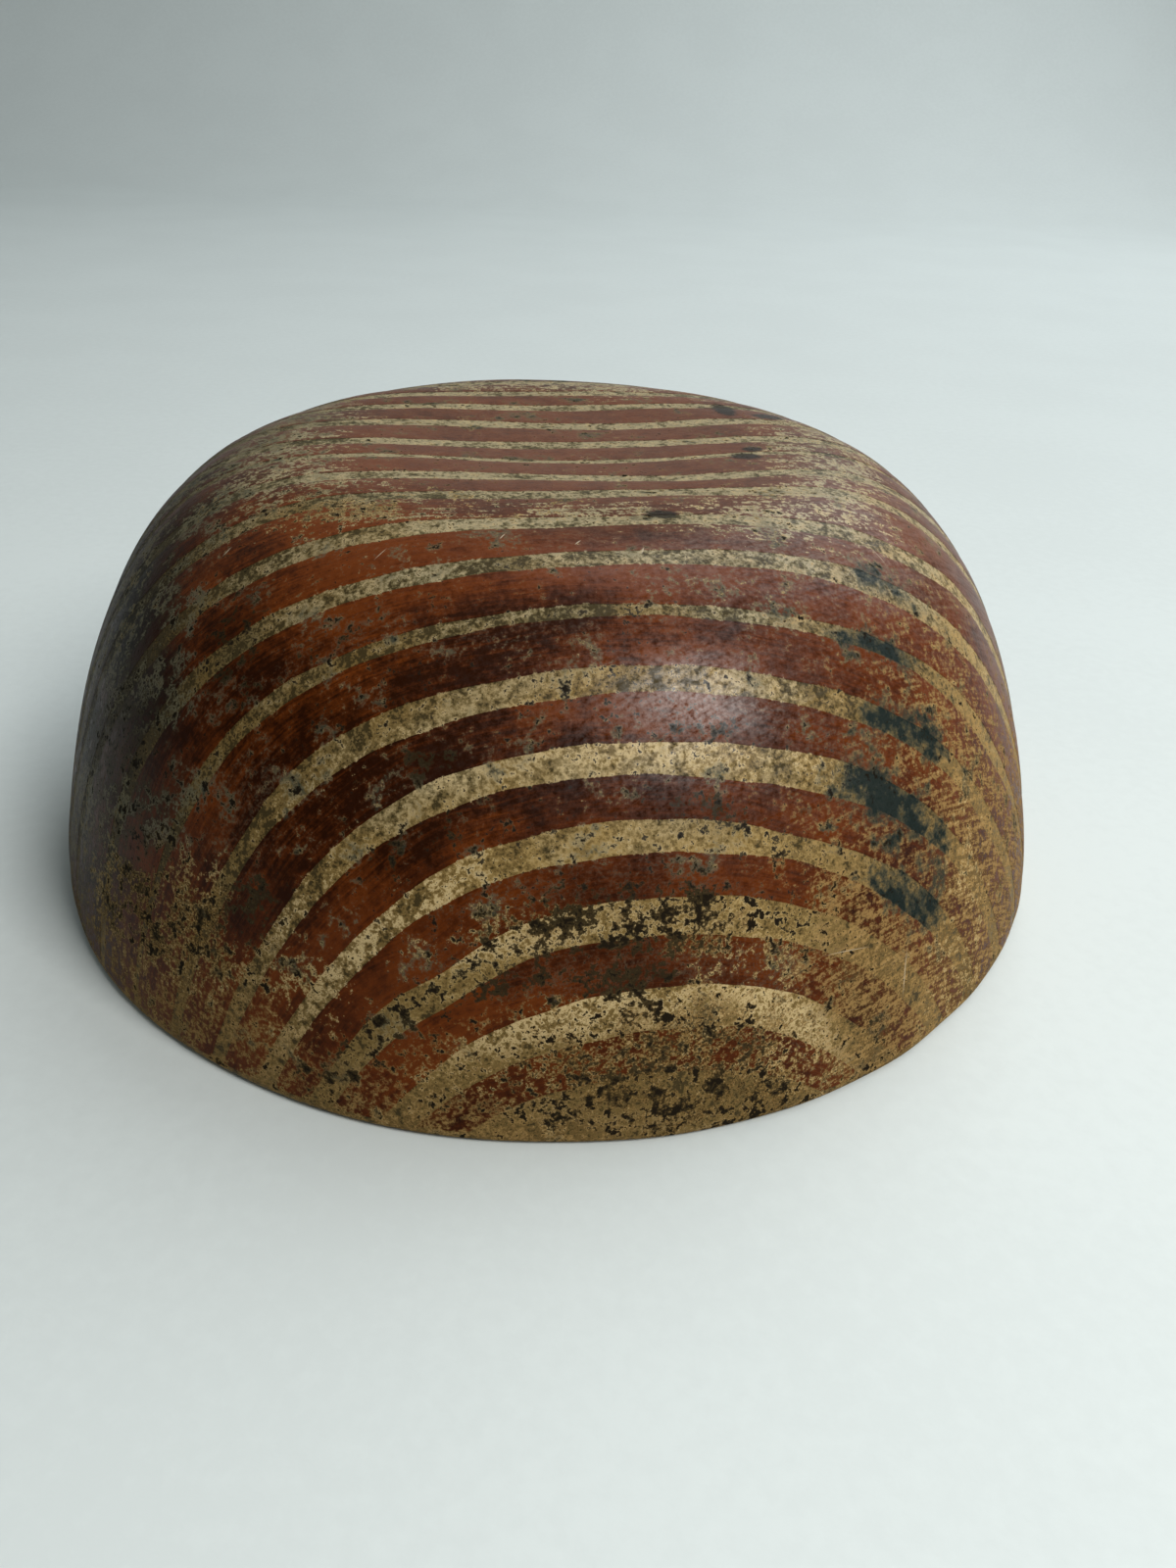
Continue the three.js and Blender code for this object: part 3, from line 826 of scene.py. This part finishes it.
def clay_finish():
    """Wiped bare clay: rings round the bowl, fine grit and smoke towards the rim."""
    clay = Finish("bare_clay")
    solid = clay.node("TexCoord", {}, {}, "Object")
    rings = clay.noise(clay.node("Mapping", {}, {"Vector": solid, "Scale": (60, 60, 900)}), 1, 3)
    blots = clay.noise(solid, 0.020, 4, 0.6)
    grit = clay.noise(solid, 0.0012, 2, 0.5)
    height = clay.node("SeparateXYZ", {}, {0: solid}, "Z")
    tone = rings * 0.5 + blots * 0.8
    colour = clay.mix(tone.above(0, 3), CLAY_BROWN, CLAY_TAN)
    smoke = (blots * 1.2 - height * 120).above(-0.6, 3) * 0.75
    colour = clay.mix(smoke, colour, SMOKE)
    colour = clay.mix(grit.above(1.7, 0.6) * 0.8, colour, SMOKE)
    relief = rings * 0.5 + grit * 0.4
    bump = clay.node("Bump", {}, {"Height": relief, "Strength": 0.6, "Distance": 0.03 * MM})
    clay.set(Base_Color=colour, Roughness=0.72 + blots * 0.02, Normal=bump)
    return clay.material


clay_bm = spin_outline(clay_outline())
lay_over(clay_bm)
clay_bowl = finish_piece("clay_bowl", clay_bm, clay_finish(), ["clay_body"])
print("clay bowl:", len(clay_bowl.data.polygons), "faces")

# %% [markdown]
# ## The painted lines
#
# The stripes aren't rings. They slant over the bowl, nearly straight and parallel over the base, then arch
# over the near and far walls, with an elbow at the left where the brush met the curve of the shoulder. A
# short formula gives the height of every line on the flat pattern. The lines are given in hundredths of the
# way from the middle of the base to the rim, as a painter would space them.

# %% Lines
# Each cream line, from far to near: its height at the middle and its width, in hundredths
CREAM_LINES = [
    (97.5, 4.4), (88.7, 4.4), (79.6, 3.9), (71.1, 3.3), (63.1, 3.0), (55.4, 3.0), (47.7, 2.8), (40.0, 2.8),
    (32.2, 2.8), (24.8, 2.5), (17.9, 2.5), (9.9, 2.8), (1.4, 2.8), (-5.2, 1.4), (-12.4, 2.5), (-19.8, 2.5),
    (-29.5, 2.6), (-37.8, 2.4), (-45.2, 1.5), (-52.6, 2.6), (-60.3, 3.0), (-68.3, 3.3), (-76.6, 3.9),
    (-87.1, 4.7), (-96.7, 3.9),
]
HUNDREDTH = REACH / 100
LINE_RISE = 0.176
RIGHT_RISE = 0.195
BEND_START = 38.6
BEND_REACH = 49.6
ARCH_RISE = 0.13
ARCH_EASE = 0.0036
ELBOW_TURN = 0.49
ELBOW_PLACE = 34.2
ELBOW_LINE = 45.2
ELBOW_FADE = 19.3
ELBOW_BLEND = 5.0


def ramp(t):
    """0 well below 0 and t well above it, with a rounded corner."""
    return np.maximum(t, 0) + ELBOW_BLEND * np.log1p(np.exp(-np.abs(t) / ELBOW_BLEND))


def near_line(line, x):
    """Heights of a line of the near half, all in hundredths of the reach."""
    bend = max(0.0, (-line - BEND_START) / BEND_REACH)
    right = (RIGHT_RISE + ARCH_RISE * bend**2) * x - ARCH_EASE * bend**1.2 * x * x
    elbow = ELBOW_PLACE * math.exp((line + ELBOW_LINE) / ELBOW_FADE)
    left = LINE_RISE * x - ELBOW_TURN * (ramp(-x - elbow) - ramp(-elbow))
    return line + np.where(x > 0, right, left)


def line_height(line, x):
    """Heights on the pattern, in millimetres, of a line. The far half is the near half turned half round."""
    along = x / HUNDREDTH
    return HUNDREDTH * (-near_line(-line, -along) if line > 0 else near_line(line, along))


widest = max(width for _, width in CREAM_LINES) * HUNDREDTH
print("lines:", len(CREAM_LINES), "and the widest is, mm:", round(widest, 1))

# %% [markdown]
# ## The painter's hand
#
# A formula alone gives lines that a hand couldn't paint. So each edge strays a few millimetres in some places,
# the cream line between two stripes swells or narrows in others, and every edge trembles a little. Waves of
# sines make the trembling, which repeats exactly on every run, as random numbers would only with a seed.

# %% Unsteady edges
TREMBLE = 0.22
# Places where the painter's hand strayed: across, along, reach across, reach along, shift
STRAYED = [
    (33, -15, 24, 13, -4.2), (-34, 14, 24, 30, 2.4), (18, 22, 24, 16, -1.3), (-63, -43, 28, 13, -2.9),
    (44, -38, 14, 8, -2.0), (72, -38, 14, 8, -2.4), (-28, -112, 20, 14, -0.9), (-16, -146, 18, 9, -2.8),
    (42, -98, 26, 22, -0.8), (118, -70, 18, 16, -2.2), (58, -140, 22, 8, 1.8),
]
# Places where the cream line is broader or narrower: across, along, reach across, reach along, share
SWOLLEN = [
    (-74, -100, 48, 12, 0.6), (70, -104, 34, 9, 0.35), (62, -112, 20, 6, -0.35),
    (62, -50, 20, 6, 0.30), (70, -62, 26, 8, 0.30), (-10, -32, 30, 8, 0.35), (110, -62, 24, 10, 0.8),
    (-14, -54, 30, 7, 0.25),
]


def tremble(x, line):
    """The unsteady edge of a line that was painted by hand."""
    slow = np.sin(x / 15.1 + line * 0.37)
    quick = np.sin(x / 4.3 + line * 1.7) * 0.6 + np.sin(x / 2.2 + line * 2.9) * 0.3
    return TREMBLE * (slow + quick)


def hills(places, x, y):
    """Soft hills laid over each other: across, along, reach across, reach along, height."""
    return sum(
        height * np.exp(-(((x - across) / wide) ** 2) - ((y - along) / tall) ** 2)
        for across, along, wide, tall, height in places
    )


def edge_line(line, side):
    """The edge of a cream line, above (side 1) or below it (side -1), as a function of x."""
    place, width = line

    def height(x):
        middle = line_height(place, x)
        half = width / 2 * HUNDREDTH * (1 + hills(SWOLLEN, x, middle))
        return middle + hills(STRAYED, x, middle) + side * half + tremble(x, place + side)

    return height


def ends_of(height, limit):
    """Where a line across the pattern reaches the rim, left and right, found by halving the gap."""
    near = np.zeros(2)
    far = np.array([-1.05, 1.05]) * limit
    for _ in range(30):
        middle = (near + far) / 2
        inside = np.hypot(middle, height(middle)) < limit
        near = np.where(inside, middle, near)
        far = np.where(inside, far, middle)
    return near


print("the edges stray by up to, mm:", max(abs(place[4]) for place in STRAYED))

# %% [markdown]
# ## The red stripes
#
# Each stripe is a grid, given a thickness by extruding it, then pulled out along its two lines. The paint is
# 0.1 mm thick in the middle and thins to its edges. Stripes drawn in the coat's material would be less work.
# As skins of their own they have a real edge and their own sheen, and one can be repainted alone.

# %% Stripes
STRIPE_STEP = 2.0
STRIPE_ROWS = 6
# Heights above the coat, in mm: the skin's underside, then its edge and its crown above that
PAINT_FLOOR = 0.03
PAINT_EDGE = 0.02
PAINT_CROWN = 0.08
# How far the paint stops above the round of the lip
PAINT_STOP = 0.6
# The size of one rubbing streak, in mm
STROKE_LENGTH = 14
STROKE_WIDTH = 0.7


def bake_place(facing, u, v, top):
    """The painted side fills the map. The edges and the hidden side share a thin band below it."""
    along = 0.02 + 0.96 * u
    if facing.z > 0.5:
        return (along, 0.12 + 0.86 * v)
    if facing.z < -0.5:
        return (along, 0.01 + 0.04 * v)
    if facing.y < -0.5:
        return (along, 0.06 + 0.01 * top)
    if facing.y > 0.5:
        return (along, 0.08 + 0.01 * top)
    if facing.x < -0.5:
        return (0.005 + 0.005 * top, 0.12 + 0.86 * v)
    return (0.990 + 0.005 * top, 0.12 + 0.86 * v)


def stripe_maps(bm, places, steps):
    """UV maps of a stripe, from its flat grid: its place on the pattern, along the stroke, and for baking."""
    bake = bm.loops.layers.uv.new("OFBake")
    pattern = bm.loops.layers.uv.new("pattern")
    stroke = bm.loops.layers.uv.new("stroke")
    for face in bm.faces:
        facing = face.normal
        for loop in face.loops:
            u, v, top = loop.vert.co
            column = round(u * steps)
            x, y, _ = places[round(v * STRIPE_ROWS)][column]
            loop[pattern].uv = (x, y)
            loop[stroke].uv = (x / STROKE_LENGTH, (y - places[0][column][1]) / STROKE_WIDTH)
            loop[bake].uv = bake_place(facing, u, v, top)


def between(lower, upper, share):
    """A line part of the way from one edge to the other, as a function of x."""

    def height(x):
        return lower(x) + (upper(x) - lower(x)) * share

    return height


def paint_stripe(number, lower, upper):
    """One closed skin of red slip between two edges."""
    limit = REACH - LIP_ROUND - PAINT_STOP
    rows = []
    for i in range(STRIPE_ROWS + 1):
        height = between(lower, upper, i / STRIPE_ROWS)
        rows.append((height, ends_of(height, limit)))
    length = max(right - left for _, (left, right) in rows)
    steps = math.ceil(length / STRIPE_STEP)
    places = []
    for height, (left, right) in rows:
        xs = np.linspace(left, right, steps + 1)
        places.append(np.stack([xs, height(xs), upper(xs) - lower(xs)], axis=1).tolist())

    bm = bmesh.new()
    bmesh.ops.create_grid(bm, x_segments=steps, y_segments=STRIPE_ROWS, size=0.5)
    bmesh.ops.translate(bm, verts=bm.verts[:], vec=(0.5, 0.5, 0))
    made = bmesh.ops.extrude_face_region(bm, geom=bm.faces[:])
    raised = [item for item in made["geom"] if isinstance(item, bmesh.types.BMVert)]
    bmesh.ops.translate(bm, verts=raised, vec=(0, 0, 1))
    bmesh.ops.recalc_face_normals(bm, faces=bm.faces[:])
    stripe_maps(bm, places, steps)
    depth = bm.verts.layers.float.new("edge_depth")
    for vert in bm.verts:
        u, v, top = vert.co
        x, y, width = places[round(v * STRIPE_ROWS)][round(u * steps)]
        crown = PAINT_CROWN * (1 - (2 * v - 1) ** 4) if top else 0
        vert[depth] = min(v, 1 - v) * width
        vert.co = (x, y, PAINT_FLOOR + top * PAINT_EDGE + crown)
    flat_places = lay_over(bm)
    name = f"red_stripe_{number:02d}"
    stripe = finish_piece(name, bm, red_slip, [f"red_slip_stripe_{number:02d}"])
    let_weather(stripe, *flat_places)
    return stripe


stripes = []
for number, (far_side, near_side) in enumerate(zip(CREAM_LINES, CREAM_LINES[1:]), start=1):
    stripes.append(paint_stripe(number, edge_line(near_side, 1), edge_line(far_side, -1)))
print("stripes:", len(stripes), "with", sum(len(s.data.polygons) for s in stripes), "faces")

# %% [markdown]
# ## Floor
#
# The bowl stands on plain pale paper that curves up behind it. A flat plane would be simpler, but it would show
# a horizon in every low view. The paper is a cool grey with a faint tooth.

# %% Floor
FLOOR_GREY = (0.65, 0.70, 0.69)
FLOOR_FRONT = -1400.0
FLOOR_BACK = 1300.0
FLOOR_WIDTH = 5200.0
COVE_RADIUS = 500.0
COVE_STEPS = 24
BACKDROP_HEIGHT = 2600.0
FLOOR_DROP = 0.05


def floor_finish():
    """Paper with a faint tooth."""
    paper = Finish("pale_paper")
    solid = paper.node("TexCoord", {}, {}, "Object")
    tooth = paper.noise(solid, 0.004, 3, 0.6)
    shade = paper.noise(solid, 0.09, 2, 0.5)
    tone = (tooth + shade).above(0, 4)
    colour = paper.mix(tone, [v * 0.97 for v in FLOOR_GREY], FLOOR_GREY)
    bump = paper.node("Bump", {}, {"Height": tooth, "Strength": 0.15, "Distance": 0.03 * MM})
    paper.set(Base_Color=colour, Roughness=0.9, Normal=bump)
    return paper.material


bm = bmesh.new()
corners = [(FLOOR_FRONT, 0.0)]
for i in range(COVE_STEPS + 1):
    angle = math.pi / 2 * i / COVE_STEPS
    corners.append((FLOOR_BACK + COVE_RADIUS * math.sin(angle), COVE_RADIUS * (1 - math.cos(angle))))
corners.append((FLOOR_BACK + COVE_RADIUS, BACKDROP_HEIGHT))
verts = [bm.verts.new((-FLOOR_WIDTH / 2 * MM, y * MM, (z - FLOOR_DROP) * MM)) for y, z in corners]
edges = [bm.edges.new(pair) for pair in zip(verts, verts[1:])]
made = bmesh.ops.extrude_edge_only(bm, edges=edges)
moved = [item for item in made["geom"] if isinstance(item, bmesh.types.BMVert)]
bmesh.ops.translate(bm, verts=moved, vec=(FLOOR_WIDTH * MM, 0, 0))
for face in bm.faces:
    face.smooth = True
floor_mesh = bpy.data.meshes.new("floor")
bm.to_mesh(floor_mesh)
bm.free()
floor_mesh.materials.append(floor_finish())
floor = bpy.data.objects.new("floor", floor_mesh)
bpy.context.scene.collection.objects.link(floor)
print("floor:", FLOOR_WIDTH, "mm wide, with a cove of", COVE_RADIUS, "mm behind the bowl")

# %% [markdown]
# ## Light
#
# A soft lamp at the upper right is the window: it gives the gleam on the front of the shoulder and leaves the
# left side dark. A much larger one behind the bowl lights the paper and the base. The world is nearly black on
# the left and pale on the right, like a room with one bright wall, and it fills the shade.

# %% Lamps
SKY_SLOPE = (0.42, 0.25, 0.0)
SKY_DARK = (0.030, 0.033, 0.033)
SKY_PALE = (0.52, 0.56, 0.56)
LAMP_AIM = Vector((0, 0, 50))


def lamp(name, azimuth, elevation, distance, size, power, colour):
    """A square soft light that points at the bowl. Azimuth 0 is in front and 90 to the right."""
    light = bpy.data.lights.new(name, "AREA")
    light.shape = "SQUARE"
    light.size = size * MM
    light.energy = power
    light.color = colour
    lamp_object = bpy.data.objects.new(name, light)
    a, e = math.radians(azimuth), math.radians(elevation)
    towards = Vector((math.sin(a) * math.cos(e), -math.cos(a) * math.cos(e), math.sin(e)))
    lamp_object.location = (LAMP_AIM + towards * distance) * MM
    lamp_object.rotation_mode = "QUATERNION"
    lamp_object.rotation_quaternion = towards.to_track_quat("Z", "Y")
    bpy.context.scene.collection.objects.link(lamp_object)
    return lamp_object


lamp("window", 46, 44, 950, 360, 6.5, (1.0, 0.98, 0.95))
lamp("far_panel", 140, 46, 1700, 1600, 20, (0.95, 0.98, 1.0))

world = bpy.data.worlds.new("studio")
world.use_nodes = True
sky = Shader(world.node_tree)
facing = sky.node("TexCoord", {}, {}, "Generated")
turned = sky.node("VectorMath", {"operation": "DOT_PRODUCT"}, {0: facing, 1: SKY_SLOPE}, "Value")
shade = sky.mix(turned + 0.5, SKY_DARK, SKY_PALE)
join(sky.tree, shade, sky.tree.nodes["Background"].inputs["Color"])
bpy.context.scene.world = world
bpy.context.scene.view_settings.view_transform = "Standard"
